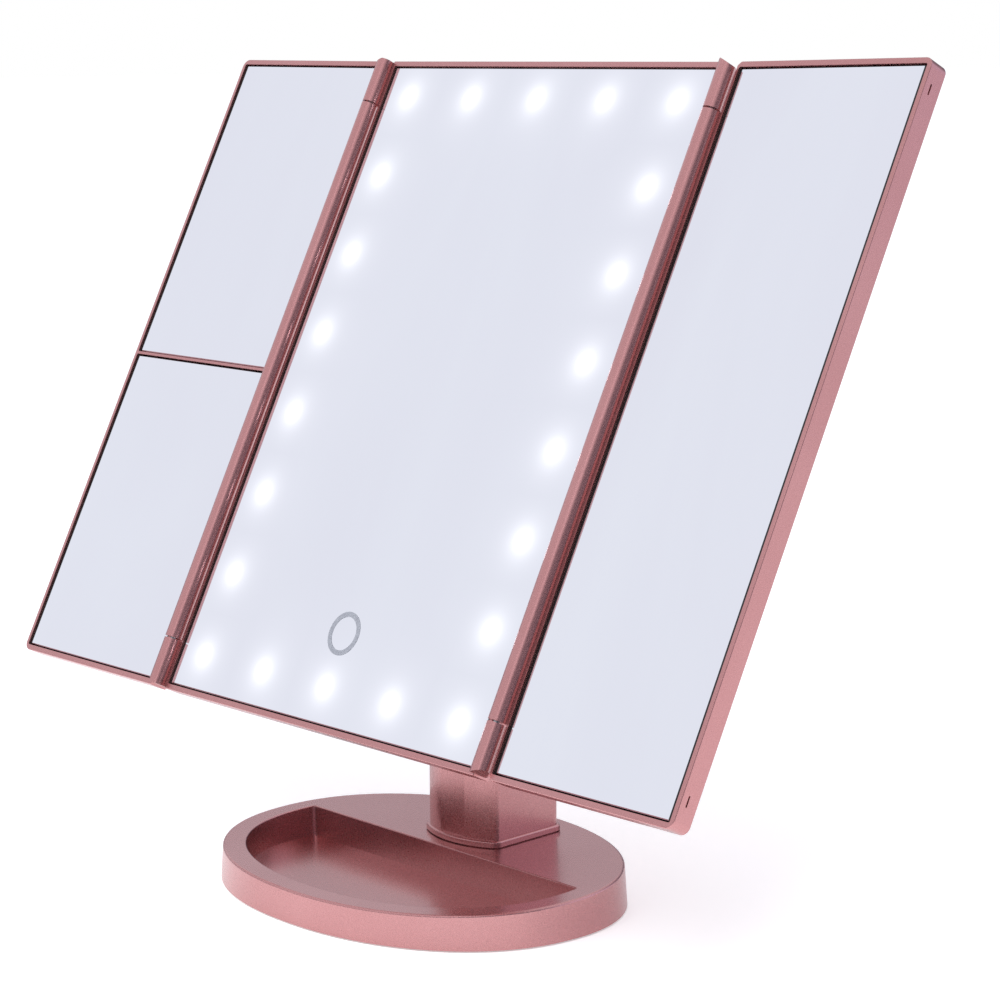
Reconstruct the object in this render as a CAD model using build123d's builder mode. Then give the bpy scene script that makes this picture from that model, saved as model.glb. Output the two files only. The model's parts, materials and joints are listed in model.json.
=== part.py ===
# Tri-fold lighted vanity mirror on a tilting stand, in millimetres.
# The origin is the centre of the oval base on the table, +Z is up, and the mirrors face -Y.

import os
from math import copysign, cos, pi, radians, sin

from build123d import *

# ---------------------------------------------------------------- driving dimensions

# Oval base with a tray in front and a hollow behind
base_rx = 78.7          # half width of the top rim
base_ry = 58.9          # half depth of the top rim
oval_power = 2.15       # 2 is an ellipse, more is squarer
base_flare = 0.9        # how much wider the foot of the wall is
deck_height = 13.5      # top surface above the table, at the middle
deck_slope = 0.03       # the top rises to the rear by this much per mm
shell_bottom = 0.6      # lower edge of the shell above the table
base_wall = 2.2
deck_wall = 2.0
rim_width = 7.8         # from the outside of the base to the tray
tray_back_y = 8.5       # straight back wall of the tray
tray_floor = 2.8
tray_floor_wall = 1.2
tray_draft = 1.2        # how much smaller the tray is at its floor
tray_corner = 1.5
edge_radius = 0.4       # small rounding of moulded edges
cover_thickness = 1.0
ballast_top = 8.0
foot_radius = 7.0
foot_height = 1.2

# Column
column_half = 18.0
column_front_y = 14.3   # crown of the curved front
column_shoulder_y = 19.5
column_rear_y = 49.4
column_wall = 2.0
column_seam_y = 29.2    # where the front and rear shells meet
column_taper_z = 62.0   # above this the rear face curves forward
lip_height = 2.5
lip_width = 1.2
lip_gap = 0.35          # shadow gap between the lip and the deck

# Tilt pivot between the column's head and the two lugs of the back cover
pivot_y = 26.0
pivot_z = 158.0
column_head_radius = 11.1
shaft_radius = 2.5
running_gap = 0.05
washer_thickness = 0.8
lug_inner = 19.1
lug_outer = 27.0
lug_radius = 8.5
shaft_recess_radius = 5.2

# Mirror panels, all on one front plane that leans back from its bottom edge
lean = 26.7             # degrees from upright
panel_front_y = -48.0
panel_front_z = 64.6
panel_height = 244.0
panel_depth = 7.4
centre_half = 83.3      # centre frame, outside
panel_wall = 1.6
lip_top = 2.0           # frame lip above and below the glass
centre_lip = 1.3        # centre frame's lip beside the glass
glass_front = -0.6
glass_thickness = 2.0
glass_corner = 0.5
opening_corner = 0.7
foam_rise = -1.0        # foam beside the glass comes up to here
foam_gap = 0.15
tape_thickness = 0.5
ledge_thickness = 1.2
cover_plate = 1.6

# Hinges
hinge_half = 86.7       # hinge axis from the middle
hinge_front = 1.2       # hinge axis ahead of the front plane
barrel_radius = 3.0
knuckle_inset = 0.6     # knuckles end this far inside the panel's height
knuckle_length = 17.5   # from the panel's end
knuckle_gap = 0.6
pin_radius = 1.0
pin_length = 30.0
web_depth = 3.2

# Wings, measured outward from the hinge axis
wing_inner = 3.4
wing_outer = 86.4
wing_glass_inner = 5.3
wing_glass_outer = 84.1
left_fold = 0.8         # degrees that each wing is folded forward
right_fold = 2.2
divider_height = 121.0
divider_width = 1.0
divider_gap = 0.45

# Lights
led_column = 68.3
led_row_low = 15.0
led_row_step = 30.7
led_rows = 8
led_row_x = 34.0
board_front = -4.8
board_thickness = 1.0

# Rear pod: pivot part below, battery part above
pod_half = 38.0
pod_low = 94.0
pod_step = 142.0
pod_high = 214.0
pod_depth = 12.2
battery_depth = 16.5
bay_half = 23.0
bay_low = 148.5
bay_high = 205.5
bay_floor = -4.2
door_thickness = 1.5
cell_radius = 5.1
cell_length = 44.5
cell_pitch = 11.4

# ---------------------------------------------------------------- planes and helpers

deck = Plane(origin=(0, 0, deck_height), x_dir=(1, 0, 0), z_dir=(0, -deck_slope, 1))
head = Plane(
    origin=(0, panel_front_y, panel_front_z),
    x_dir=(1, 0, 0),
    z_dir=(0, -cos(radians(lean)), sin(radians(lean))),
)
glass_back = glass_front - glass_thickness
ledge_front = glass_back - tape_thickness
ledge_back = ledge_front - ledge_thickness
cover_front = cover_plate - panel_depth
pivot = head.to_local_coords(Vector(0, pivot_y, pivot_z))
led_spots = [
    (side * led_column, led_row_low + row * led_row_step)
    for side in (-1, 1)
    for row in range(led_rows)
] + [
    (x, led_row_low + row * led_row_step)
    for x in (-led_row_x, 0, led_row_x)
    for row in (0, led_rows - 1)
]


def wing_plane(side, fold):
    """Front plane of a wing, with its origin at the foot of the hinge axis."""
    across = head.x_dir
    ahead = head.z_dir
    x_dir = across * cos(radians(fold)) + ahead * (side * sin(radians(fold)))
    z_dir = ahead * cos(radians(fold)) - across * (side * sin(radians(fold)))
    axis_foot = head.origin + across * (side * hinge_half) + ahead * hinge_front
    return Plane(origin=axis_foot - z_dir * hinge_front, x_dir=x_dir, z_dir=z_dir)


def cross_section(plane, height):
    """Plane across a panel at a height, with local x outward and local y rearward."""
    return Plane(origin=plane.origin + plane.y_dir * height, x_dir=plane.x_dir, z_dir=plane.y_dir)


def side_section(x):
    """Plane through the centre panel from the side, with local x up it and local y ahead."""
    return Plane(origin=head.origin + head.x_dir * x, x_dir=head.y_dir, z_dir=head.x_dir)


def slab(plane, x, y, z, radius=0.0, mode=Mode.ADD):
    """Block between (low, high) pairs in a plane's own directions."""
    with BuildSketch(plane.offset(z[0])) as outline:
        with Locations(((x[0] + x[1]) / 2, (y[0] + y[1]) / 2)):
            if radius:
                RectangleRounded(abs(x[1] - x[0]), abs(y[1] - y[0]), radius)
            else:
                Rectangle(abs(x[1] - x[0]), abs(y[1] - y[0]))
    extrude(outline.sketch, amount=z[1] - z[0], mode=mode)


def rods(plane, centres, z, radius, mode=Mode.ADD):
    """Round bars, or holes, along a plane's normal."""
    with BuildSketch(plane.offset(z[0])) as outline:
        with Locations(*centres):
            Circle(radius)
    extrude(outline.sketch, amount=z[1] - z[0], mode=mode)


def oval_sketch(plane, rx, ry, from_y=None, to_y=None):
    """Squared ellipse, cut off in front at from_y or behind at to_y."""
    turns = 32
    points = []
    for step in range(turns):
        angle = 2 * pi * step / turns
        x = copysign(abs(cos(angle)) ** (2 / oval_power), cos(angle))
        y = copysign(abs(sin(angle)) ** (2 / oval_power), sin(angle))
        points.append((rx * x, ry * y))
    with BuildSketch(plane) as oval:
        with BuildLine():
            Spline(*points, periodic=True)
        make_face()
        if from_y is not None:
            with Locations((0, from_y + ry)):
                Rectangle(2 * rx + 2, 2 * ry, mode=Mode.INTERSECT)
        if to_y is not None:
            with Locations((0, to_y - ry)):
                Rectangle(2 * rx + 2, 2 * ry, mode=Mode.INTERSECT)
    return oval.sketch


def write(builder, label):
    builder.part.label = label
    export_step(builder.part, f"parts/{label}.step")


os.makedirs("parts", exist_ok=True)

# ---------------------------------------------------------------- base

rear_screws = [(-56, 20), (56, 20), (-28, 44), (28, 44)]
column_bolts = [(-10, 24), (10, 24), (-10, 40), (10, 40)]
foot_spots = [(0, 0), (-50, -20), (50, -20), (-40, 30), (40, 30)]
boss_radius = 3.0
screw_radius = 1.2
screw_head_radius = 2.6
cover_low = tray_floor - tray_floor_wall - cover_thickness
cover_high = cover_low + cover_thickness
hollow_front_y = tray_back_y + base_wall
tray_rx = base_rx - rim_width
tray_ry = base_ry - rim_width

with BuildPart() as rear_hollow:
    extrude(oval_sketch(Plane.XY, base_rx - base_wall, base_ry - base_wall, hollow_front_y), amount=20)
    split(bisect_by=deck.offset(-deck_wall), keep=Keep.BOTTOM)

with BuildPart() as rim_hollow:
    extrude(oval_sketch(Plane.XY, base_rx - base_wall, base_ry - base_wall, None, hollow_front_y), amount=20)
    extrude(oval_sketch(Plane.XY, tray_rx + base_wall, tray_ry + base_wall), amount=20, mode=Mode.SUBTRACT)
    split(bisect_by=deck.offset(-deck_wall), keep=Keep.BOTTOM)

with BuildPart() as tray_space:
    for height, inset in ((tray_floor, tray_draft), (20.0, -tray_draft * 0.6)):
        with BuildSketch(Plane.XY.offset(height)) as tray_outline:
            add(oval_sketch(Plane.XY, tray_rx - inset, tray_ry - inset, None, tray_back_y - inset / 2))
            fillet(tray_outline.vertices(), tray_corner)
    loft()

with BuildPart() as base_shell:
    for height, flare in ((shell_bottom, base_flare), (20.0, -base_flare * 0.4)):
        with BuildSketch(Plane.XY.offset(height)):
            add(oval_sketch(Plane.XY, base_rx + flare, base_ry + flare))
    loft()
    split(bisect_by=deck, keep=Keep.BOTTOM)
    fillet(base_shell.edges().group_by(Axis.Z)[-1], 0.8)
    add(rear_hollow.part, mode=Mode.SUBTRACT)
    add(rim_hollow.part, mode=Mode.SUBTRACT)
    add(tray_space.part, mode=Mode.SUBTRACT)
    deck_face = base_shell.faces().filter_by(deck).sort_by(SortBy.AREA)[-1]
    fillet(deck_face.inner_wires()[0].edges(), edge_radius)
    extrude(oval_sketch(Plane.XY, base_rx - base_wall, base_ry - base_wall), amount=cover_high, mode=Mode.SUBTRACT)
    rods(Plane.XY, rear_screws, (cover_high, deck_height - 0.5), boss_radius)
    rods(Plane.XY, rear_screws, (cover_high, 11.0), screw_radius, Mode.SUBTRACT)
    rods(deck, column_bolts, (-deck_wall - 1, 1), 1.6, Mode.SUBTRACT)
write(base_shell, "base_shell")

with BuildPart() as base_cover:
    extrude(
        oval_sketch(Plane.XY.offset(cover_low), base_rx - base_wall - 0.3, base_ry - base_wall - 0.3),
        amount=cover_thickness,
    )
    rods(Plane.XY, foot_spots, (0, cover_low + 0.6), foot_radius + 0.1, Mode.SUBTRACT)
    rods(Plane.XY, rear_screws, (0, cover_low + 0.7), screw_head_radius + 0.1, Mode.SUBTRACT)
    rods(Plane.XY, rear_screws, (0, cover_high), screw_radius, Mode.SUBTRACT)
write(base_cover, "base_cover")

with BuildPart() as ballast:
    extrude(
        oval_sketch(Plane.XY.offset(cover_high), base_rx - 9, base_ry - 9, hollow_front_y + 4),
        amount=ballast_top - cover_high,
    )
    rods(Plane.XY, rear_screws, (cover_high, ballast_top), boss_radius + 1, Mode.SUBTRACT)
write(ballast, "ballast_weight")

with BuildPart() as feet:
    rods(Plane.XY, foot_spots, (0, foot_height), foot_radius)
    fillet(feet.edges().group_by(Axis.Z)[0], 0.3)
write(feet, "rubber_feet")

with BuildPart() as base_screws:
    rods(Plane.XY, rear_screws, (cover_low, cover_low + 0.7), screw_head_radius)
    rods(Plane.XY, rear_screws, (cover_low + 0.7, 10.0), screw_radius)
    rods(Plane.XY, rear_screws, (cover_low, cover_low + 0.4), 0.9, Mode.SUBTRACT)
write(base_screws, "base_screws")

# ---------------------------------------------------------------- column


def column_plan(plane, grow):
    """Column seen from above: curved front, straight sides, rounded corners."""
    half = column_half + grow
    rear = column_rear_y + grow
    shoulder = column_shoulder_y - grow * 0.7
    with BuildSketch(plane) as plan:
        with BuildLine():
            ThreePointArc((-half, shoulder), (0, column_front_y - grow), (half, shoulder))
            Polyline((half, shoulder), (half, rear), (-half, rear), (-half, shoulder))
        make_face()
        fillet(plan.vertices().group_by(Axis.Y)[-1], 3.0 + grow)
        fillet(plan.vertices().group_by(Axis.Y)[0], 2.5 + grow)
    return plan.sketch


def column_side(shrink):
    """Column seen from the side: upright front, round head, rear face curving forward."""
    radius = column_head_radius - shrink
    front = pivot_y - radius
    rear = column_rear_y + 1 - shrink
    with BuildSketch(Plane.YZ) as profile:
        with BuildLine():
            Line((front, 0), (front, pivot_z))
            ThreePointArc((front, pivot_z), (pivot_y, pivot_z + radius), (pivot_y + radius, pivot_z))
            Spline((pivot_y + radius, pivot_z), (rear, column_taper_z), tangents=((0, -1), (0, -1)))
            Polyline((rear, column_taper_z), (rear, 0), (front, 0))
        make_face()
    return profile.sketch


with BuildPart() as column_cavity:
    extrude(column_plan(Plane.XY, -column_wall), amount=200)
    extrude(column_side(column_wall), amount=column_half + 5, both=True, mode=Mode.INTERSECT)
    split(bisect_by=deck.offset(2.4), keep=Keep.TOP)

with BuildPart() as column_lip:
    extrude(column_plan(Plane.XY, lip_width), amount=25)
    split(bisect_by=deck.offset(lip_height), keep=Keep.BOTTOM)
    split(bisect_by=deck.offset(lip_gap), keep=Keep.TOP)
    fillet(column_lip.edges().group_by(Axis.Z)[-1], 0.6)

with BuildPart() as column_body:
    extrude(column_plan(Plane.XY, 0), amount=200)
    extrude(column_side(0), amount=column_half + 5, both=True, mode=Mode.INTERSECT)
    add(column_lip.part)
    split(bisect_by=deck, keep=Keep.TOP)
    add(column_cavity.part, mode=Mode.SUBTRACT)

seam_plane = Plane(origin=(0, column_seam_y, 0), x_dir=(1, 0, 0), z_dir=(0, 1, 0))
post_top = 14.0
for label, keep, bolts in (
    ("column_front", Keep.BOTTOM, column_bolts[:2]),
    ("column_rear", Keep.TOP, column_bolts[2:]),
):
    with BuildPart() as column_shell:
        add(column_body.part)
        split(bisect_by=seam_plane, keep=keep)
        rods(deck, bolts, (1.0, post_top), boss_radius)
        rods(deck, bolts, (0, post_top), 1.6, Mode.SUBTRACT)
        if label == "column_front":
            pivot_side = Plane(origin=(-column_half, pivot_y, pivot_z), x_dir=(0, 1, 0), z_dir=(1, 0, 0))
            rods(pivot_side, [(0, 0)], (1.0, 2 * column_half - 1.0), shaft_radius + 2)
            with BuildSketch(seam_plane) as behind_seam:
                Rectangle(100, 500)
            extrude(behind_seam.sketch, amount=30, mode=Mode.SUBTRACT)
            rods(pivot_side, [(0, 0)], (-1, 2 * column_half + 1), shaft_radius + running_gap, Mode.SUBTRACT)
    write(column_shell, label)

with BuildPart() as column_screws:
    rods(deck, column_bolts, (-deck_wall - 1.8, -deck_wall), 3.0)
    rods(deck, column_bolts, (-deck_wall, 12.0), 1.6)
write(column_screws, "column_screws")

with BuildPart() as friction_washers:
    for side in (-1, 1):
        washer_plane = Plane(origin=(side * column_half, pivot_y, pivot_z), x_dir=(0, 1, 0), z_dir=(side, 0, 0))
        rods(washer_plane, [(0, 0)], (0, washer_thickness), 6.0)
        rods(washer_plane, [(0, 0)], (0, washer_thickness), shaft_radius + 0.3, Mode.SUBTRACT)
write(friction_washers, "friction_washers")

# ---------------------------------------------------------------- tilt shaft, in the lugs

shaft_side = Plane(origin=(0, pivot_y, pivot_z), x_dir=(0, 1, 0), z_dir=(1, 0, 0))
recess_floor = lug_inner + 3.9
head_thickness = 2.6

with BuildPart() as tilt_shaft:
    rods(shaft_side, [(0, 0)], (-recess_floor - head_thickness, recess_floor), shaft_radius)
    rods(shaft_side, [(0, 0)], (recess_floor, recess_floor + head_thickness), 4.8)
write(tilt_shaft, "tilt_shaft")

with BuildPart() as tilt_nut:
    with BuildSketch(shaft_side.offset(-recess_floor - head_thickness)):
        RegularPolygon(4.8, 6)
        Circle(shaft_radius, mode=Mode.SUBTRACT)
    extrude(amount=head_thickness)
write(tilt_nut, "tilt_nut")

with BuildPart() as pivot_caps:
    for side in (-1, 1):
        cap_plane = Plane(origin=(side * (lug_outer - 1.2), pivot_y, pivot_z), x_dir=(0, 1, 0), z_dir=(side, 0, 0))
        rods(cap_plane, [(0, 0)], (0, 1.5), shaft_recess_radius)
    fillet(pivot_caps.edges().group_by(Axis.X)[0] + pivot_caps.edges().group_by(Axis.X)[-1], 0.6)
write(pivot_caps, "pivot_caps")

# ---------------------------------------------------------------- centre panel

cover_screw_spots = [(side * 78.6, height) for side in (-1, 1) for height in (6.5, 122.0, 237.5)]


def bevel(plane, side, height, inner, outer, drop):
    """Cuts a sloping corner off the hinge end of a panel, at its bottom (0) or its top."""
    inward = 1 if height == 0 else -1
    with BuildSketch(plane.offset(-10)) as corner:
        with BuildLine():
            Polyline(
                (side * inner, height),
                (side * outer, height + inward * drop),
                (side * outer, height - inward * 2),
                (side * inner, height - inward * 2),
                close=True,
            )
        make_face()
    extrude(corner.sketch, amount=20, mode=Mode.SUBTRACT)


def barrel(plane, side, height, length, web_end):
    """Length of hinge barrel with the web that joins it to its panel."""
    with BuildSketch(cross_section(plane, height)) as section:
        with Locations((0, -hinge_front)):
            Circle(barrel_radius)
        with Locations((side * web_end / 2, web_depth / 2)):
            Rectangle(abs(web_end), web_depth)
    extrude(section.sketch, amount=length)


def barrel_bore(plane, height, length, radius):
    rods(cross_section(plane, height), [(0, -hinge_front)], (0, length), radius, Mode.SUBTRACT)


with BuildPart() as centre_frame:
    slab(head, (-centre_half, centre_half), (0, panel_height), (-panel_depth, 0))
    fillet(centre_frame.faces().filter_by(head).edges(), edge_radius)
    inner = centre_half - panel_wall
    slab(head, (-inner, inner), (panel_wall, panel_height - panel_wall), (-panel_depth, ledge_back), 1.0, Mode.SUBTRACT)
    slab(
        head,
        (-inner + 2.8, inner - 2.8),
        (panel_wall + 2.8, panel_height - panel_wall - 2.8),
        (ledge_back, ledge_front),
        1.0,
        Mode.SUBTRACT,
    )
    opening = centre_half - centre_lip
    opening_y = (lip_top, panel_height - lip_top)
    slab(head, (-opening, opening), opening_y, (ledge_front, 0), opening_corner, Mode.SUBTRACT)
    rods(head, cover_screw_spots, (cover_front, ledge_back), 2.4)
    rods(head, cover_screw_spots, (cover_front, ledge_back), 1.0, Mode.SUBTRACT)
    for side in (-1, 1):
        hinge = wing_plane(side, 0)
        for height in (knuckle_inset, panel_height - knuckle_length):
            barrel(hinge, side, height, knuckle_length - knuckle_inset, centre_half - hinge_half - 0.8)
        for height in (0, panel_height):
            bevel(hinge, side, height, -2.6, 3.8, 2.6)
        barrel_bore(hinge, knuckle_length - pin_length / 2, pin_length / 2, pin_radius)
        barrel_bore(hinge, panel_height - knuckle_length, pin_length / 2, pin_radius)
write(centre_frame, "centre_frame")

with BuildPart() as hinge_pins:
    for side in (-1, 1):
        hinge = wing_plane(side, 0)
        for height in (knuckle_length - pin_length / 2, panel_height - knuckle_length - pin_length / 2):
            rods(cross_section(hinge, height), [(0, -hinge_front)], (0, pin_length), pin_radius)
write(hinge_pins, "hinge_pins")

centre_glass_half = 81.4
centre_glass_y = (2.6, 241.6)
with BuildPart() as centre_mirror:
    slab(head, (-centre_glass_half, centre_glass_half), centre_glass_y, (glass_back, glass_front), glass_corner)
    chamfer(centre_mirror.faces().sort_by(SortBy.AREA)[-2:].edges(), 0.3)
write(centre_mirror, "centre_mirror")

with BuildPart() as centre_tape:
    slab(head, (-81.7, 81.7), (2.3, 241.7), (ledge_front, glass_back), 0.4)
    slab(head, (-78.9, 78.9), (4.4, 239.6), (ledge_front, glass_back), 1.0, Mode.SUBTRACT)
    for side in (-1, 1):
        upstand_x = (side * (centre_glass_half + foam_gap), side * (opening - foam_gap))
        slab(head, upstand_x, (2.3, 241.7), (ledge_front, foam_rise))
write(centre_tape, "centre_mirror_tape")

ring_height = 34.0
ring_outer = 7.7
ring_inner = 5.9
print_thickness = 0.1
with BuildPart() as touch_ring:
    rods(head, [(0, ring_height)], (glass_front, glass_front + print_thickness), ring_outer)
    rods(head, [(0, ring_height)], (glass_front, glass_front + print_thickness), ring_inner, Mode.SUBTRACT)
write(touch_ring, "touch_ring")

with BuildPart() as touch_sensor:
    rods(head, [(0, ring_height)], (ledge_front, glass_back), 9.0)
write(touch_sensor, "touch_sensor")

with BuildPart() as diffuser:
    slab(head, (-75.5, 75.5), (7.0, 238.0), (glass_back - 0.4, glass_back), 3.0)
    slab(head, (-60.5, 60.5), (23.0, 222.0), (glass_back - 0.4, glass_back), 3.0, Mode.SUBTRACT)
write(diffuser, "light_diffuser")

with BuildPart() as led_board:
    slab(head, (-73.5, 73.5), (9.5, 235.5), (board_front - board_thickness, board_front), 2.0)
    slab(head, (-63.0, 63.0), (20.5, 224.5), (board_front - board_thickness, board_front), 2.0, Mode.SUBTRACT)
write(led_board, "led_board")

with BuildPart() as led_chips:
    with BuildSketch(head.offset(board_front)):
        with Locations(*led_spots):
            Rectangle(3.5, 2.8)
    extrude(amount=0.8)
write(led_chips, "led_chips")

with BuildPart() as control_board:
    slab(head, (-33, 35), (97, 137), (-7.2, -6.0))
    rods(head, [(-28, 102), (-28, 132)], (-7.2, -6.0), 1.3, Mode.SUBTRACT)
write(control_board, "control_board")

usb_height = 109.0
with BuildPart() as usb_socket:
    slab(head, (30.6, 36.8), (usb_height - 3.8, usb_height + 3.8), (-9.9, -7.2), 0.5)
    slab(head, (32.0, 37.0), (usb_height - 3.4, usb_height + 3.4), (-9.5, -7.6), 0.4, Mode.SUBTRACT)
    slab(head, (31.0, 36.0), (usb_height - 1.9, usb_height + 1.9), (-8.8, -8.4))
write(usb_socket, "usb_socket")

switch_height = 126.0
switch_travel = 4.0
knob_height = switch_height + switch_travel / 2
with BuildPart() as switch_body:
    slab(head, (30.0, 36.0), (switch_height - 6, switch_height + 6), (-10.4, -7.2))
    slab(head, (32.0, 37.0), (switch_height - 4.4, switch_height + 4.4), (-9.9, -7.7), 0.0, Mode.SUBTRACT)
write(switch_body, "switch_body")

with BuildPart() as switch_knob:
    slab(head, (32.4, 39.6), (knob_height - 2, knob_height + 2), (-9.6, -8.0))
    for ridge in (-1.2, 0, 1.2):
        slab(head, (39.6, 39.9), (knob_height + ridge - 0.3, knob_height + ridge + 0.3), (-9.6, -8.0))
write(switch_knob, "power_switch")


# ---------------------------------------------------------------- back cover and battery bay

pocket_half = bay_half + 2
pocket_low = bay_low - 2
pocket_high = bay_high + 2

with BuildPart() as back_cover:
    slab(head, (-81.4, 81.4), (1.9, 242.1), (-panel_depth, cover_front), 1.0)
    slab(head, (-pod_half, pod_half), (pod_low, pod_step + 4), (-pod_depth, cover_front), 5.0)
    slab(head, (-pod_half, pod_half), (pod_step, pod_high), (-battery_depth, cover_front), 5.0)
    pod_rim = back_cover.faces().filter_by(head).sort_by(Axis(head.origin, head.z_dir))
    fillet(pod_rim[0].edges(), 1.5)
    for side in (-1, 1):
        outer = (side * lug_inner, side * lug_outer)
        with BuildSketch(side_section(outer[0])) as lug:
            with BuildLine():
                Polyline(
                    (pivot.Y - 20, -pod_depth + 1),
                    (pivot.Y - 13, -pod_depth),
                    (pivot.Y - lug_radius, pivot.Z - 1),
                    (pivot.Y + lug_radius, pivot.Z - 1),
                    (pivot.Y + 13, -pod_depth),
                    (pivot.Y + 20, -pod_depth + 1),
                    close=True,
                )
            make_face()
            with Locations((pivot.Y, pivot.Z)):
                Circle(lug_radius)
        extrude(lug.sketch, amount=outer[1] - outer[0])
    slab(head, (-36.4, 36.4), (95.6, 141.0), (-10.6, cover_front), 3.5, Mode.SUBTRACT)
    slab(head, (-36.4, 36.4), (140.0, 212.4), (-14.9, cover_front), 3.5, Mode.SUBTRACT)
    slab(head, (-pocket_half, pocket_half), (pocket_low, pocket_high), (-battery_depth, bay_floor + 1.2))
    slab(head, (-bay_half, bay_half), (bay_low, bay_high), (-battery_depth, bay_floor), 1.0, Mode.SUBTRACT)
    slab(
        head,
        (-pocket_half, pocket_half),
        (pocket_low, pocket_high),
        (-battery_depth - 1, -battery_depth + door_thickness),
        1.0,
        Mode.SUBTRACT,
    )
    slab(head, (36.0, 39.0), (usb_height - 4.4, usb_height + 4.4), (-10.3, -6.9), 0.8, Mode.SUBTRACT)
    slab(head, (36.0, 39.0), (switch_height - 4.6, switch_height + 4.6), (-10.0, -7.6), 0.6, Mode.SUBTRACT)
    for side in (-1, 1):
        lug_face = side_section(side * lug_inner)
        rods(lug_face, [(pivot.Y, pivot.Z)], (0, side * 20), shaft_radius, Mode.SUBTRACT)
        recess = side_section(side * recess_floor)
        rods(recess, [(pivot.Y, pivot.Z)], (0, side * 20), shaft_recess_radius, Mode.SUBTRACT)
    rods(head, cover_screw_spots, (-panel_depth, cover_front), 1.0, Mode.SUBTRACT)
    rods(head, cover_screw_spots, (-panel_depth, -panel_depth + 0.8), 2.1, Mode.SUBTRACT)
write(back_cover, "back_cover")

with BuildPart() as cover_screws:
    rods(head, cover_screw_spots, (-panel_depth, -panel_depth + 0.8), 2.0)
    rods(head, cover_screw_spots, (-panel_depth + 0.8, ledge_back), 1.0)
    rods(head, cover_screw_spots, (-panel_depth, -panel_depth + 0.4), 0.7, Mode.SUBTRACT)
write(cover_screws, "cover_screws")

cell_low = bay_low + 7.0
cell_centres = [cell_pitch * step for step in (-1.5, -0.5, 0.5, 1.5)]
cell_n = bay_floor - cell_radius - 0.1
cell_foot = cross_section(head, cell_low)

with BuildPart() as cells:
    rods(cell_foot, [(x, -cell_n) for x in cell_centres], (0, cell_length - 1.0), cell_radius)
    rods(cell_foot, [(x, -cell_n) for x in cell_centres], (cell_length - 1.0, cell_length), 1.9)
write(cells, "battery_cells")

with BuildPart() as battery_springs:
    for x in cell_centres:
        coil_foot = cross_section(head, bay_low)
        centre = coil_foot.from_local_coords(Vector(x, -cell_n, 0.6))
        coil_plane = Plane(origin=centre, x_dir=coil_foot.x_dir, z_dir=coil_foot.z_dir)
        rods(coil_plane, [(0, 0)], (-0.6, 0), 4.2)
        for turn in range(4):
            with BuildSketch(coil_plane.offset(turn * 1.6)) as coil:
                Circle(3.8 - 0.4 * turn)
                Circle(3.0 - 0.4 * turn, mode=Mode.SUBTRACT)
            extrude(coil.sketch, amount=0.8)
            slab(coil_plane, (-0.4, 0.4), (2.6 - 0.4 * turn, 3.8 - 0.4 * turn), (turn * 1.6, turn * 1.6 + 1.6))
write(battery_springs, "battery_springs")

with BuildPart() as battery_contacts:
    for pair in (-1, 1):
        x = pair * cell_pitch
        slab(head, (x - 10, x + 10), (bay_high - 0.5, bay_high), (cell_n - 4, cell_n + 4))
write(battery_contacts, "battery_contacts")

with BuildPart() as battery_door:
    door_back = -battery_depth
    slab(
        head,
        (-pocket_half + 0.3, pocket_half - 0.3),
        (pocket_low + 0.3, pocket_high - 0.3),
        (door_back, door_back + door_thickness - 0.1),
        0.8,
    )
    slab(head, (-9, 9), (pocket_low + 4, pocket_low + 12), (door_back, door_back + 0.7), 2.0, Mode.SUBTRACT)
    for ridge in (6.0, 8.0, 10.0):
        slab(head, (-6, 6), (pocket_low + ridge - 0.4, pocket_low + ridge + 0.4), (door_back + 0.2, door_back + 0.9))
write(battery_door, "battery_door")

# ---------------------------------------------------------------- wings

pad_gap = 0.3
tray_inner = 4.5        # lip beside the hinge ends here
tray_outer = 84.8       # lip along the free side starts here


def both(side, low, high):
    """A pair of distances from the hinge axis, on the wing's own side."""
    return (side * low, side * high)


def wing_frame(side, fold, has_divider):
    plane = wing_plane(side, fold)
    middle_low = knuckle_length + knuckle_gap
    middle_length = panel_height - 2 * middle_low
    with BuildPart() as frame:
        slab(plane, both(side, wing_inner, wing_outer), (0, panel_height), (-panel_depth, 0))
        long_edges = frame.edges().filter_by(Axis((0, 0, 0), plane.z_dir))
        outer_edges = long_edges.sort_by(lambda edge: side * plane.to_local_coords(edge.center()).X)[-2:]
        fillet(outer_edges, 3.0)
        fillet(frame.faces().filter_by(plane).edges(), edge_radius)
        for height in (0, panel_height):
            bevel(plane, side, height, 5.2, wing_inner - 0.2, 1.9)
        floor_pair = both(side, wing_inner + panel_wall, wing_outer - panel_wall)
        floor_y = (panel_wall + 1.2, panel_height - panel_wall - 1.2)
        slab(plane, floor_pair, floor_y, (-panel_depth, ledge_back), 1.0, Mode.SUBTRACT)
        opening = both(side, tray_inner, tray_outer)
        windows = [(lip_top, panel_height - lip_top)]
        if has_divider:
            half = divider_width / 2
            windows = [(lip_top, divider_height - half), (divider_height + half, panel_height - lip_top)]
        for window in windows:
            slab(plane, opening, window, (ledge_front, 0), opening_corner, Mode.SUBTRACT)
        barrel(plane, side, middle_low, middle_length, wing_inner + 0.4)
        bore_length = pin_length / 2 - knuckle_gap + 0.5
        barrel_bore(plane, middle_low, bore_length, pin_radius + running_gap)
        barrel_bore(plane, panel_height - middle_low - bore_length, bore_length, pin_radius + running_gap)
        for height in (9.5, panel_height - 9.5):
            slab(
                plane,
                both(side, wing_outer - 0.9, wing_outer + 1),
                (height - 1.75, height + 1.75),
                (-3.1, -2.5),
                0.0,
                Mode.SUBTRACT,
            )
    return frame


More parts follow.
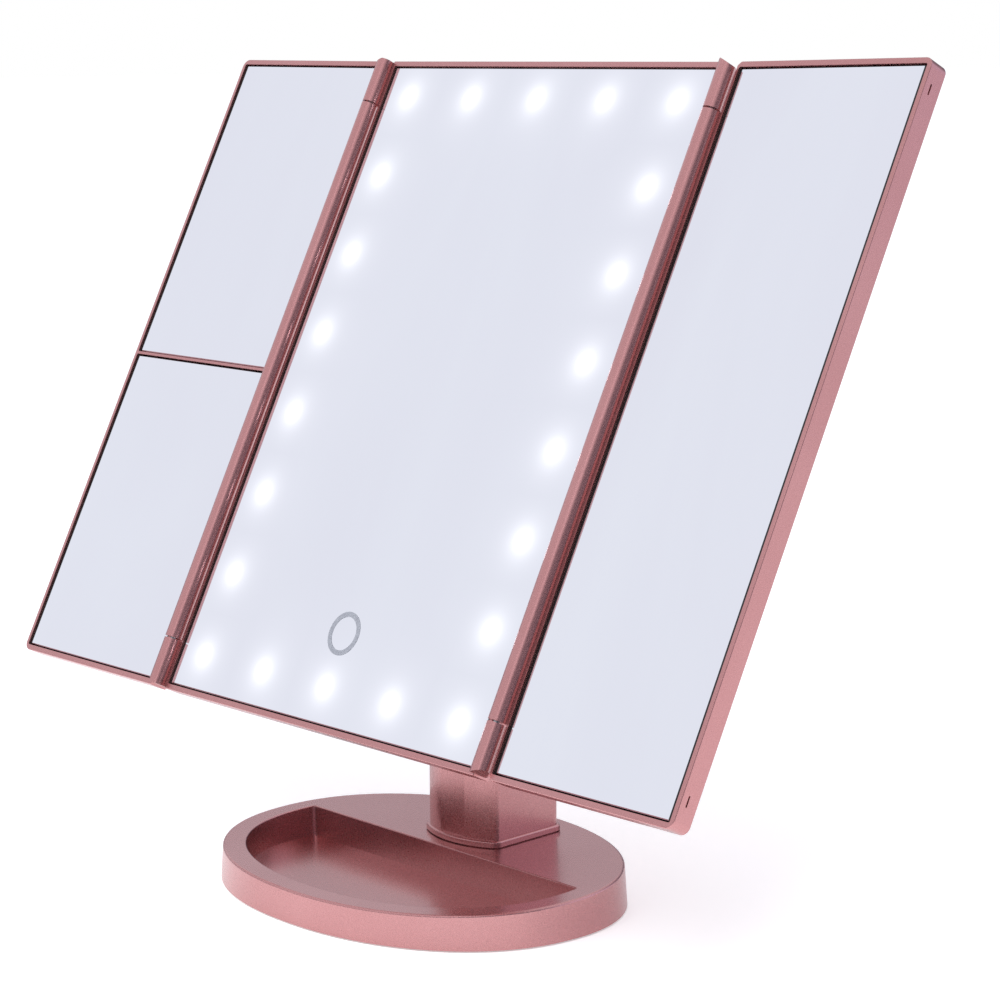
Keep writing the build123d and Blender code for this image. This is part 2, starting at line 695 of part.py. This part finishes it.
def wing_sheet(side, fold, spans, x, z, radius, edge_chamfer=0.0):
    """Flat sheets in a wing, one for each height span."""
    plane = wing_plane(side, fold)
    with BuildPart() as sheet:
        for span in spans:
            slab(plane, both(side, *x), span, z, radius)
        if edge_chamfer:
            chamfer(sheet.faces().sort_by(SortBy.AREA)[-2:].edges(), edge_chamfer)
    return sheet


def wing_pads(side, fold, spans):
    """Adhesive foam under the glass, with the edge of it that stands up beside the glass."""
    plane = wing_plane(side, fold)
    with BuildPart() as pads:
        for span in spans:
            slab(plane, both(side, tray_inner + foam_gap, tray_outer - 0.2), span, (ledge_front, glass_back), 0.4)
            for edges in ((tray_inner, wing_glass_inner), (wing_glass_outer, tray_outer)):
                upstand_x = both(side, edges[0] + foam_gap, edges[1] - foam_gap)
                slab(plane, upstand_x, span, (ledge_front, foam_rise))
    return pads


glass_x = (wing_glass_inner, wing_glass_outer)
glass_z = (glass_back, glass_front)
back_x = (wing_inner + panel_wall + 0.2, wing_outer - panel_wall - 0.2)
back_y = (panel_wall + 1.4, panel_height - panel_wall - 1.4)
back_z = (-panel_depth, cover_front)
divider_low = divider_height - divider_width / 2
divider_high = divider_height + divider_width / 2
lower_span = (centre_glass_y[0], divider_low - divider_gap)
upper_span = (divider_high + divider_gap, centre_glass_y[1])
pad_spans = [(lip_top + pad_gap, divider_low - 0.1), (divider_high + 0.1, panel_height - lip_top - pad_gap)]

write(wing_frame(-1, left_fold, True), "left_wing_frame")
write(wing_sheet(-1, left_fold, [upper_span], glass_x, glass_z, glass_corner, 0.3), "left_upper_mirror")
write(wing_sheet(-1, left_fold, [lower_span], glass_x, glass_z, glass_corner, 0.3), "left_lower_mirror")
write(wing_pads(-1, left_fold, pad_spans), "left_mirror_pads")
write(wing_sheet(-1, left_fold, [back_y], back_x, back_z, 1.0), "left_wing_back")

write(wing_frame(1, right_fold, False), "right_wing_frame")
write(wing_sheet(1, right_fold, [centre_glass_y], glass_x, glass_z, glass_corner, 0.3), "right_mirror")
write(wing_pads(1, right_fold, [(lip_top + pad_gap, panel_height - lip_top - pad_gap)]), "right_mirror_pad")
write(wing_sheet(1, right_fold, [back_y], back_x, back_z, 1.0), "right_wing_back")
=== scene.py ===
import json
import math
import bpy
import bmesh
from mathutils import Matrix, Vector


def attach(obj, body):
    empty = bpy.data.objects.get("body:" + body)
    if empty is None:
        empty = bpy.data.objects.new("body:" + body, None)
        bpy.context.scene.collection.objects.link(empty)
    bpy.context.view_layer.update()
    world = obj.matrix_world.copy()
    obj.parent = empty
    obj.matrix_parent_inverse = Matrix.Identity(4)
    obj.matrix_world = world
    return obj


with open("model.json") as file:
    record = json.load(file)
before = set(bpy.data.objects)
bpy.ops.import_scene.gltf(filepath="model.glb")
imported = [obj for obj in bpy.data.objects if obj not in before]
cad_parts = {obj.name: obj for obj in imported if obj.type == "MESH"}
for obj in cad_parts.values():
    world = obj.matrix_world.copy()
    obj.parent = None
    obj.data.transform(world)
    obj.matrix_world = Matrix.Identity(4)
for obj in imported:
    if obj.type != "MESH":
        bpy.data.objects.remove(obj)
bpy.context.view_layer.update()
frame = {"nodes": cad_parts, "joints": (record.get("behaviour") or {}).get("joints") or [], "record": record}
print("frame loaded:", len(frame["nodes"]), "nodes")

mm = 0.001


def toLinear(hexColour):  # sRGB hex to the linear colour that a shader wants
    channels = [int(hexColour[i:i + 2], 16) / 255 for i in (0, 2, 4)]
    return [c / 12.92 if c <= 0.04045 else ((c + 0.055) / 1.055) ** 2.4 for c in channels] + [1.0]


def addNode(tree, kind, settings=None, links=None):  # one node, its settings and what feeds it
    node = tree.nodes.new(kind)
    for name, value in (settings or {}).items():
        if name == "stops":  # a colour ramp's places and colours, two or more
            elements = node.color_ramp.elements
            elements.remove(elements[-1])
            elements[0].position, elements[0].color = value[0]
            for position, colour in value[1:]:
                elements.new(position).color = colour
        elif isinstance(name, str) and hasattr(node, name):
            setattr(node, name, value)
        else:
            node.inputs[name].default_value = value
    for name, source in (links or {}).items():
        tree.links.new(source, node.inputs[name])
    return node


def newMaterial(name):  # a material with a bare Principled shader and its output
    material = bpy.data.materials.new(name)
    material.use_nodes = True
    tree = material.node_tree
    tree.nodes.clear()
    shader = addNode(tree, "ShaderNodeBsdfPrincipled")
    addNode(tree, "ShaderNodeOutputMaterial", None, {"Surface": shader.outputs["BSDF"]})
    place = addNode(tree, "ShaderNodeTexCoord").outputs["Object"]
    return material, tree, shader, place


# The head's own directions come from the hinges: up the glass, and out of its front
hinge = next(joint for joint in frame["joints"] if joint["name"] == "left_wing_fold")
across = Vector((1, 0, 0))
upGlass = Vector(hinge["axis"]).normalized()
outOfGlass = across.cross(upGlass)
glassTurn = Matrix((across, upGlass, outOfGlass)).transposed().to_euler()


def islandCentres(node):  # the middle of each separate solid in a node
    mesh = bmesh.new()
    mesh.from_mesh(frame["nodes"][node].data)
    bmesh.ops.remove_doubles(mesh, verts=mesh.verts, dist=1e-6)
    left = set(mesh.verts)
    centres = []
    while left:
        stack = [left.pop()]
        found = [stack[0]]
        while stack:
            for edge in stack.pop().link_edges:
                for vert in edge.verts:
                    if vert in left:
                        left.remove(vert)
                        stack.append(vert)
                        found.append(vert)
        low = Vector([min(v.co[i] for v in found) for i in range(3)])
        high = Vector([max(v.co[i] for v in found) for i in range(3)])
        centres.append((low + high) / 2)
    mesh.free()
    return sorted(centres, key=lambda centre: (round(centre.z, 5), round(centre.x, 5)))


ledCentres = islandCentres("led_chips")
glassFace = max(vert.co.dot(outOfGlass) for vert in frame["nodes"]["centre_mirror"].data.vertices)
print("lamps found:", len(ledCentres))

# Rose-gold paint: clear-coated metallic paint sprayed on moulded ABS, a satin metal with a fine sparkle
rosePaint = {
    "body": "c68e8e",       # most of the paint
    "shade": "c08787",      # slow drift of the spray
    "flake": "d8a8a8",      # the odd brighter flake
    "flakeShare": 0.16,     # how far it goes to the flake's colour
    "metallic": 0.92,
    "roughness": 0.26,
    "roughSpread": 0.03,    # from one flake to the next
    "coat": 0.25,           # thin clear coat over the metallic layer
    "coatRoughness": 0.12,
    "flakeMm": 0.28,        # real flakes are near 0.05 mm, drawn coarser so that they show
    "driftMm": 60,
    "orangePeelMm": 1.6,
    "orangePeelDepthMm": 0.05,
    "orangePeelStrength": 0.03,
    "flakeGrain": 0.03,     # how much of the bump the flakes give
}


def makeRosePaint(name, look):
    material, tree, shader, place = newMaterial(name)
    shader.inputs["Metallic"].default_value = look["metallic"]
    shader.inputs["Coat Weight"].default_value = look["coat"]
    shader.inputs["Coat Roughness"].default_value = look["coatRoughness"]
    drift = addNode(tree, "ShaderNodeTexNoise", {"Scale": 1 / (look["driftMm"] * mm), "Detail": 3},
                    {"Vector": place})
    flakes = addNode(tree, "ShaderNodeTexVoronoi", {"Scale": 1 / (look["flakeMm"] * mm)}, {"Vector": place})
    sparkle = addNode(tree, "ShaderNodeSeparateColor", None, {"Color": flakes.outputs["Color"]})
    sprayed = addNode(tree, "ShaderNodeValToRGB",
                      {"stops": [(0.35, toLinear(look["shade"])), (0.65, toLinear(look["body"]))]},
                      {"Fac": drift.outputs["Fac"]})
    bright = addNode(tree, "ShaderNodeMapRange",  # three flakes in ten are brighter than the rest
                     {"From Min": 0.7, "From Max": 1.0, "To Max": look["flakeShare"]},
                     {"Value": sparkle.outputs["Red"]})
    flaked = addNode(tree, "ShaderNodeMix", {"data_type": "RGBA", 7: toLinear(look["flake"])},
                     {0: bright.outputs["Result"], 6: sprayed.outputs["Color"]})
    rough = addNode(tree, "ShaderNodeMapRange",
                    {"To Min": look["roughness"] - look["roughSpread"],
                     "To Max": look["roughness"] + look["roughSpread"]},
                    {"Value": sparkle.outputs["Green"]})
    peel = addNode(tree, "ShaderNodeTexNoise", {"Scale": 1 / (look["orangePeelMm"] * mm), "Detail": 1},
                   {"Vector": place})
    height = addNode(tree, "ShaderNodeMath", {"operation": "MULTIPLY_ADD", 1: look["flakeGrain"]},
                     {0: flakes.outputs["Distance"], 2: peel.outputs["Fac"]})
    bump = addNode(tree, "ShaderNodeBump",
                   {"Strength": look["orangePeelStrength"], "Distance": look["orangePeelDepthMm"] * mm},
                   {"Height": height.outputs[0]})
    tree.links.new(flaked.outputs[2], shader.inputs["Base Color"])
    tree.links.new(rough.outputs["Result"], shader.inputs["Roughness"])
    tree.links.new(bump.outputs["Normal"], shader.inputs["Normal"])
    return material


# Silvered glass: polished float glass with a silver back, a pale cool mirror with faint wiping marks
silveredGlass = {
    "tint": "f2f3f9",
    "wiped": "efeff6",
    "wipeMm": 70,
    "wipeStretch": (1, 0.35, 0.35),  # the marks run up and down the glass
    "wipeDetail": 5,
    "wipeDistortion": 0.6,
    "roughness": 0.004,
    "roughestTimes": 4,     # roughness of the dullest mark, times the clean glass
    # The black edge is partly the foam behind the glass and partly painted shade: it stands in for the dark
    # shaded gap along the glass's long edges and is painted over the frame's reflection there
    "blackEdgeFoamAndShade": "141315",   # the silver stops short of the glass's long edges, and black foam shows there
    "bareMm": 0.6,
    "bareSoftMm": 0.05,
}
# The lamps shine through round windows in the silver. Around each one a glow is painted on the glass as
# emission: a painted halo and a fainter painted wash
paintedLampGlow = {
    "colour": "ffffff",
    "haloMm": 3.125,        # the halo falls to a third over this distance
    "haloStrength": 0.9,
    "washMm": 15.0,         # and a faint wash goes further
    "washStrength": 0.05,
}


def makeSilveredGlass(name, look, node):
    material, tree, shader, place = newMaterial(name)
    mesh = frame["nodes"][node].data
    front = max(mesh.polygons, key=lambda face: face.normal.dot(outOfGlass) * face.area)
    sideways = upGlass.cross(front.normal)
    spots = [vert.co.dot(sideways) for vert in mesh.vertices]
    middle, half = (min(spots) + max(spots)) / 2, (max(spots) - min(spots)) / 2
    silverEnd = half - look["bareMm"] * mm
    along = addNode(tree, "ShaderNodeVectorMath", {"operation": "DOT_PRODUCT", 1: sideways}, {0: place})
    off = addNode(tree, "ShaderNodeMath", {"operation": "SUBTRACT", 1: middle}, {0: along.outputs["Value"]})
    off = addNode(tree, "ShaderNodeMath", {"operation": "ABSOLUTE"}, {0: off.outputs[0]})
    silver = addNode(tree, "ShaderNodeMapRange",
                     {"From Min": silverEnd - look["bareSoftMm"] * mm, "From Max": silverEnd, "To Min": 1.0,
                      "To Max": 0.0}, {"Value": off.outputs[0]})
    stretch = addNode(tree, "ShaderNodeMapping", {"Scale": look["wipeStretch"]}, {"Vector": place})
    wipe = addNode(tree, "ShaderNodeTexNoise",
                   {"Scale": 1 / (look["wipeMm"] * mm), "Detail": look["wipeDetail"],
                    "Distortion": look["wipeDistortion"]}, {"Vector": stretch.outputs["Vector"]})
    wiped = addNode(tree, "ShaderNodeValToRGB",
                    {"stops": [(0.3, toLinear(look["wiped"])), (0.7, toLinear(look["tint"]))]},
                    {"Fac": wipe.outputs["Fac"]})
    # the edge mask mixes in the black: the foam's tone and painted shade
    backed = addNode(tree, "ShaderNodeMix", {"data_type": "RGBA", 6: toLinear(look["blackEdgeFoamAndShade"])},
                     {0: silver.outputs["Result"], 7: wiped.outputs["Color"]})
    rough = addNode(tree, "ShaderNodeMapRange",
                    {"To Min": look["roughness"], "To Max": look["roughness"] * look["roughestTimes"]},
                    {"Value": wipe.outputs["Fac"]})
    tree.links.new(backed.outputs[2], shader.inputs["Base Color"])
    tree.links.new(silver.outputs["Result"], shader.inputs["Metallic"])
    tree.links.new(rough.outputs["Result"], shader.inputs["Roughness"])
    return material, tree, shader, place


# The lamps stand on the edge of an even grid, so the distance to the nearest one comes from the grid's steps
# The glow around each lamp is painted on the glass as emission, falling off with the distance to the nearest
# lamp
def makeLampGlass(name, look, glow, node):  # the same glass, with the light around each lamp
    material, tree, shader, place = makeSilveredGlass(name, look, node)
    columns = sorted({round(centre.x, 5) for centre in ledCentres})
    rows = sorted({round(centre.dot(upGlass), 5) for centre in ledCentres})
    half = Vector(((columns[-1] - columns[0]) / 2, (rows[-1] - rows[0]) / 2, 0))
    step = Vector((2 * half.x / (len(columns) - 1), 2 * half.y / (len(rows) - 1), 1))
    middle = sum(ledCentres, Vector()) / len(ledCentres)
    onGlass = addNode(tree, "ShaderNodeMapping",
                      {"vector_type": "TEXTURE", "Location": middle, "Rotation": glassTurn},
                      {"Vector": place})
    outward = addNode(tree, "ShaderNodeVectorMath", {"operation": "ABSOLUTE"},
                      {0: onGlass.outputs["Vector"]})
    toEdge = addNode(tree, "ShaderNodeVectorMath", {"operation": "SUBTRACT", 1: half},
                     {0: outward.outputs["Vector"]})
    counted = addNode(tree, "ShaderNodeVectorMath", {"operation": "ADD", 1: half},
                      {0: onGlass.outputs["Vector"]})
    toLamp = addNode(tree, "ShaderNodeVectorMath", {"operation": "WRAP", 1: step / 2, 2: -step / 2},
                     {0: counted.outputs["Vector"]})
    distances = []
    for edgeAxis, lampAxis in (((1, 0, 0), (0, 1, 0)), ((0, 1, 0), (1, 0, 0))):  # the sides, then the ends
        edge = addNode(tree, "ShaderNodeVectorMath", {"operation": "MULTIPLY", 1: edgeAxis},
                       {0: toEdge.outputs["Vector"]})
        both = addNode(tree, "ShaderNodeVectorMath", {"operation": "MULTIPLY_ADD", 1: lampAxis},
                       {0: toLamp.outputs["Vector"], 2: edge.outputs["Vector"]})
        length = addNode(tree, "ShaderNodeVectorMath", {"operation": "LENGTH"}, {0: both.outputs["Vector"]})
        distances.append(length.outputs["Value"])
    distance = addNode(tree, "ShaderNodeMath", {"operation": "MINIMUM"}, {0: distances[0], 1: distances[1]})
    lit = []
    for light in ("halo", "wash"):
        falling = addNode(tree, "ShaderNodeMath",
                          {"operation": "MULTIPLY", 1: -1 / (glow[light + "Mm"] * mm)},
                          {0: distance.outputs[0]})
        left = addNode(tree, "ShaderNodeMath", {"operation": "EXPONENT"}, {0: falling.outputs[0]})
        scaled = addNode(tree, "ShaderNodeMath", {"operation": "MULTIPLY", 1: glow[light + "Strength"]},
                         {0: left.outputs[0]})
        lit.append(scaled.outputs[0])
    total = addNode(tree, "ShaderNodeMath", {"operation": "ADD"}, {0: lit[0], 1: lit[1]})
    # the painted glow goes into the glass's emission
    tree.links.new(total.outputs[0], shader.inputs["Emission Strength"])
    shader.inputs["Emission Color"].default_value = toLinear(glow["colour"])
    return material


# Frosted window: the etched spot of clear glass in front of each lamp, a soft white disc
lampWindow = {
    "clear": "ffffff",
    "etched": "f4f6ff",
    "etchMm": 0.4,
    "roughness": 0.5,
    "strength": 4.0,
    "radiusMm": 3.4,
    "crownMm": 0.06,        # how proud of the glass its middle stands
    "rings": [(0.55, 0.06), (0.9, 0.05), (1.0, 0.01)],  # share of the radius, millimetres proud there
    "rootMm": 0.1,          # its back point, inside the glass
    "turns": 40,
}


def makeFrostedGlass(name, look):
    material, tree, shader, place = newMaterial(name)
    frost = addNode(tree, "ShaderNodeTexNoise", {"Scale": 1 / (look["etchMm"] * mm), "Detail": 2},
                    {"Vector": place})
    etched = addNode(tree, "ShaderNodeValToRGB",
                     {"stops": [(0.2, toLinear(look["etched"])), (0.8, toLinear(look["clear"]))]},
                     {"Fac": frost.outputs["Fac"]})
    tree.links.new(etched.outputs["Color"], shader.inputs["Base Color"])
    tree.links.new(etched.outputs["Color"], shader.inputs["Emission Color"])
    shader.inputs["Roughness"].default_value = look["roughness"]
    shader.inputs["Emission Strength"].default_value = look["strength"]
    return material


# The plainer finishes: two tones broken up by a noise of a real grain's size, with a matching bump
plainFinishes = {
    # Foam tape, closed cell and cut: a matt black that swallows light
    "black_foam": {"name": "blackFoamTape", "dark": "0b0b0c", "light": "1d1c1f", "grainMm": 0.5,
                   "roughness": 0.9, "bumpMm": 0.2},
    # Ceramic ink, screen-printed on glass: a flat even grey
    "touch_print": {"name": "greyScreenPrint", "dark": "8d8f98", "light": "979aa2", "grainMm": 1.5,
                    "roughness": 0.6, "bumpMm": 0.001},
    # Polyester diffusing film: a milky sheet with soft clouds
    "white_diffuser": {"name": "milkyFilm", "dark": "e8eaee", "light": "f6f7fa", "grainMm": 1.5,
                       "roughness": 0.5},
    # Phosphor in silicone, moulded over the chip: a warm off-white
    "led_light": {"name": "lampPhosphor", "dark": "fff3c4", "light": "fffbe6", "grainMm": 0.3,
                  "roughness": 0.4},
    # Solder mask, sprayed on fibreglass board: smooth white, and the usual green
    "circuit_board": {"name": "whiteSolderMask", "dark": "dfe3df", "light": "f0f2ee", "grainMm": 0.8,
                      "roughness": 0.4},
    "green_board": {"name": "greenSolderMask", "dark": "0c3d22", "light": "14532f", "grainMm": 0.8,
                    "roughness": 0.35},
    # Zinc-plated steel, barrel-plated: a bright grey with a fine cloudiness
    "steel": {"name": "zincPlatedSteel", "dark": "9da0a4", "light": "c3c5c8", "grainMm": 0.4,
              "roughness": 0.32, "metallic": 1.0},
    # Nickel-plated spring steel, drawn or stamped: brighter and a little yellow
    "spring_steel": {"name": "nickelPlatedSpring", "dark": "b8b7b0", "light": "d6d5cf", "grainMm": 0.4,
                     "roughness": 0.22, "metallic": 1.0},
    # Cast iron, as it leaves the sand: a dark grey with a coarse skin
    "cast_weight": {"name": "castIron", "dark": "3a3a3c", "light": "57575a", "grainMm": 1.2,
                    "roughness": 0.7, "metallic": 1.0, "bumpMm": 0.15},
    # Moulded rubber: matt, with a slight tooth
    "black_rubber": {"name": "mattRubber", "dark": "121213", "light": "222224", "grainMm": 0.6,
                     "roughness": 0.8, "bumpMm": 0.06},
    # Moulded ABS: black with a low sheen
    "black_plastic": {"name": "blackAbs", "dark": "101011", "light": "1c1c1e", "grainMm": 0.5,
                      "roughness": 0.45},
    # Heat-shrunk PVC sleeve: a soft blue-grey with a sheen
    "cell_sleeve": {"name": "printedCellSleeve", "dark": "8f969c", "light": "aab0b6", "grainMm": 4.0,
                    "roughness": 0.35},
    # Copper film, etched: bare and slightly tarnished
    "copper_pad": {"name": "bareCopper", "dark": "b5714a", "light": "c98a62", "grainMm": 0.7,
                   "roughness": 0.35, "metallic": 1.0},
}


def makeGrained(name, dark, light, grainMm, roughness, metallic=0.0, bumpMm=0.03):
    material, tree, shader, place = newMaterial(name)
    noise = addNode(tree, "ShaderNodeTexNoise", {"Scale": 1 / (grainMm * mm), "Detail": 3}, {"Vector": place})
    tones = addNode(tree, "ShaderNodeValToRGB", {"stops": [(0.3, toLinear(dark)), (0.7, toLinear(light))]},
                    {"Fac": noise.outputs["Fac"]})
    rough = addNode(tree, "ShaderNodeMapRange", {"To Min": roughness * 0.85, "To Max": roughness * 1.15},
                    {"Value": noise.outputs["Fac"]})
    bump = addNode(tree, "ShaderNodeBump", {"Strength": 0.4, "Distance": bumpMm * mm},
                   {"Height": noise.outputs["Fac"]})
    tree.links.new(tones.outputs["Color"], shader.inputs["Base Color"])
    tree.links.new(rough.outputs["Result"], shader.inputs["Roughness"])
    tree.links.new(bump.outputs["Normal"], shader.inputs["Normal"])
    shader.inputs["Metallic"].default_value = metallic
    return material


finishes = {slot: makeGrained(**look) for slot, look in plainFinishes.items()}
finishes["rose_gold_paint"] = makeRosePaint("roseGoldPaint", rosePaint)
print("materials made:", len(finishes))

for row in frame["record"]["subparts"]:
    node = row["node"]
    if node == "centre_mirror":
        finish = makeLampGlass("silveredGlassOverLamps", silveredGlass, paintedLampGlow, node)
    elif row["material_slot"] == "mirror_silver":
        finish = makeSilveredGlass("silveredGlass", silveredGlass, node)[0]
    else:
        finish = finishes[row["material_slot"]]
    frame["nodes"][node].data.materials.clear()
    frame["nodes"][node].data.materials.append(finish)
print("finishes given to the frame")


# One soft-edged frosted disc over each lamp, a hair proud of the glass
def makeWindows(look):
    mesh = bmesh.new()
    turns = look["turns"]
    for centre in ledCentres:
        foot = centre + outOfGlass * (glassFace - centre.dot(outOfGlass))
        loops = []
        for share, proud in look["rings"]:
            loop = []
            for step in range(turns):
                angle = 2 * math.pi * step / turns
                outward = across * math.cos(angle) + upGlass * math.sin(angle)
                spot = foot + outward * (look["radiusMm"] * mm * share) + outOfGlass * (proud * mm)
                loop.append(mesh.verts.new(spot))
            loops.append(loop)
        crown = mesh.verts.new(foot + outOfGlass * (look["crownMm"] * mm))
        root = mesh.verts.new(foot - outOfGlass * (look["rootMm"] * mm))
        for step in range(turns):
            after = (step + 1) % turns
            mesh.faces.new((crown, loops[0][step], loops[0][after]))
            for inner, outer in zip(loops, loops[1:]):
                mesh.faces.new((inner[step], outer[step], outer[after], inner[after]))
            mesh.faces.new((root, loops[-1][after], loops[-1][step]))
    for face in mesh.faces:
        face.smooth = True
    data = bpy.data.meshes.new("lamp_windows")
    mesh.to_mesh(data)
    mesh.free()
    windows = bpy.data.objects.new("lamp_windows", data)
    bpy.context.scene.collection.objects.link(windows)
    data.materials.append(makeFrostedGlass("frostedWindow", look))
    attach(windows, "head")


makeWindows(lampWindow)
print("lamp windows made")

# Floor: plain white paper, lit from within a little so that it stays white with a soft contact shadow
floorLook = {
    "light": "ffffff",
    "fibre": "f7f7f7",
    "fibreMm": 3.0,
    "size": 40.0,           # metres, so that its far edge stays out of sight
    "glow": 0.17,           # what it gives to everything near it
    "seenGlow": 0.22,       # and the extra that only the camera sees
    "roughness": 0.9,
    "specular": 0.1,
}


def makeFloor():
    mesh = bmesh.new()
    bmesh.ops.create_grid(mesh, x_segments=8, y_segments=8, size=floorLook["size"] / 2)
    data = bpy.data.meshes.new("floor")
    mesh.to_mesh(data)
    mesh.free()
    floor = bpy.data.objects.new("floor", data)
    bpy.context.scene.collection.objects.link(floor)
    material, tree, shader, place = newMaterial("whitePaper")
    fibre = addNode(tree, "ShaderNodeTexNoise", {"Scale": 1 / (floorLook["fibreMm"] * mm), "Detail": 2},
                    {"Vector": place})
    paper = addNode(tree, "ShaderNodeValToRGB",
                    {"stops": [(0.2, toLinear(floorLook["fibre"])), (0.8, toLinear(floorLook["light"]))]},
                    {"Fac": fibre.outputs["Fac"]})
    seen = addNode(tree, "ShaderNodeLightPath").outputs["Is Camera Ray"]
    glow = addNode(tree, "ShaderNodeMath",
                   {"operation": "MULTIPLY_ADD", 1: floorLook["seenGlow"], 2: floorLook["glow"]}, {0: seen})
    tree.links.new(paper.outputs["Color"], shader.inputs["Base Color"])
    tree.links.new(paper.outputs["Color"], shader.inputs["Emission Color"])
    tree.links.new(glow.outputs[0], shader.inputs["Emission Strength"])
    shader.inputs["Roughness"].default_value = floorLook["roughness"]
    shader.inputs["Specular IOR Level"].default_value = floorLook["specular"]
    data.materials.append(material)


makeFloor()

# Studio: grey walls low down, an even pale ceiling above, a softbox at the front right and a window behind
studio = {
    "wall": "7a7d8a",
    "ceiling": "eef0f6",
    "frontSoftbox": {"place": (0.4, -0.9, 1.1), "aim": (0, -0.15, 0), "size": 1.0, "watts": 13.0},
    "patches": {  # direction, how far round to it each starts and is full, values outside and inside
        "ceiling": ((-0.2, -0.14, 1.0), 0.24, 0.44, 0.0, 1.0),
        "softbox": ((0.449, -0.703, 0.508), 0.94, 0.99, 1.0, 1.5),
        "window": ((0.622, 0.783, 0.0), 0.74, 0.95, 0.0, 3.6),
    },
}


def makeWorld():
    world = bpy.data.worlds.new("studio")
    bpy.context.scene.world = world
    world.use_nodes = True
    tree = world.node_tree
    tree.nodes.clear()
    place = addNode(tree, "ShaderNodeTexCoord").outputs["Generated"]
    values = {}
    for patch, (way, start, full, outside, inside) in studio["patches"].items():
        facing = addNode(tree, "ShaderNodeVectorMath", {"operation": "DOT_PRODUCT", 1: way}, {0: place})
        values[patch] = addNode(tree, "ShaderNodeMapRange",
                                {"interpolation_type": "SMOOTHSTEP", "From Min": start, "From Max": full,
                                 "To Min": outside, "To Max": inside}, {"Value": facing.outputs["Value"]})
    room = addNode(tree, "ShaderNodeValToRGB",
                   {"stops": [(0.0, toLinear(studio["wall"])), (1.0, toLinear(studio["ceiling"]))]},
                   {"Fac": values["ceiling"].outputs["Result"]})
    strength = addNode(tree, "ShaderNodeMath", {"operation": "ADD"},
                       {0: values["softbox"].outputs["Result"], 1: values["window"].outputs["Result"]})
    around = addNode(tree, "ShaderNodeBackground", None,
                     {"Color": room.outputs["Color"], "Strength": strength.outputs[0]})
    plain = addNode(tree, "ShaderNodeBackground", {"Color": (1, 1, 1, 1), "Strength": 1.0})
    seen = addNode(tree, "ShaderNodeLightPath").outputs["Is Camera Ray"]  # which meets plain white
    both = addNode(tree, "ShaderNodeMixShader", None, {0: seen, 1: around.outputs[0], 2: plain.outputs[0]})
    addNode(tree, "ShaderNodeOutputWorld", None, {"Surface": both.outputs[0]})


def makeLamp(name, look):  # a square softbox that lights, but isn't mirrored as a hard square
    data = bpy.data.lights.new(name, "AREA")
    data.size = look["size"]
    data.energy = look["watts"]
    lamp = bpy.data.objects.new(name, data)
    lamp.location = look["place"]
    lamp.rotation_mode = "QUATERNION"
    lamp.rotation_quaternion = (Vector(look["aim"]) - Vector(look["place"])).to_track_quat("-Z", "Y")
    lamp.visible_glossy = False
    bpy.context.scene.collection.objects.link(lamp)


makeWorld()
makeLamp("frontSoftbox", studio["frontSoftbox"])
print("studio lit")

# Camera: three-quarter view from the right, a little above the table, in metres and degrees
view = {
    "place": (0.73365, -0.61367, 0.29010),
    "azimuth": 48.893,
    "elevation": 9.965,
    "roll": -0.441,
    "lensMm": 102.74,
    "shift": (0.0245, 0.0410),
}


def makeCamera():
    data = bpy.data.cameras.new("camera")
    data.sensor_width = 36
    data.lens = view["lensMm"]
    data.shift_x, data.shift_y = view["shift"]
    data.clip_start, data.clip_end = 0.05, 50
    a, e, r = (math.radians(view[name]) for name in ("azimuth", "elevation", "roll"))
    back = Vector((math.sin(a) * math.cos(e), -math.cos(a) * math.cos(e), math.sin(e)))
    right = Vector((math.cos(a), math.sin(a), 0))
    up = back.cross(right)
    rolledRight = right * math.cos(r) + up * math.sin(r)
    rolledUp = up * math.cos(r) - right * math.sin(r)
    camera = bpy.data.objects.new("camera", data)
    turned = Matrix((rolledRight, rolledUp, back)).transposed().to_4x4()
    camera.matrix_world = Matrix.Translation(view["place"]) @ turned
    bpy.context.scene.collection.objects.link(camera)
    bpy.context.scene.camera = camera


makeCamera()
bpy.context.scene.view_settings.view_transform = "Standard"
print("camera set")
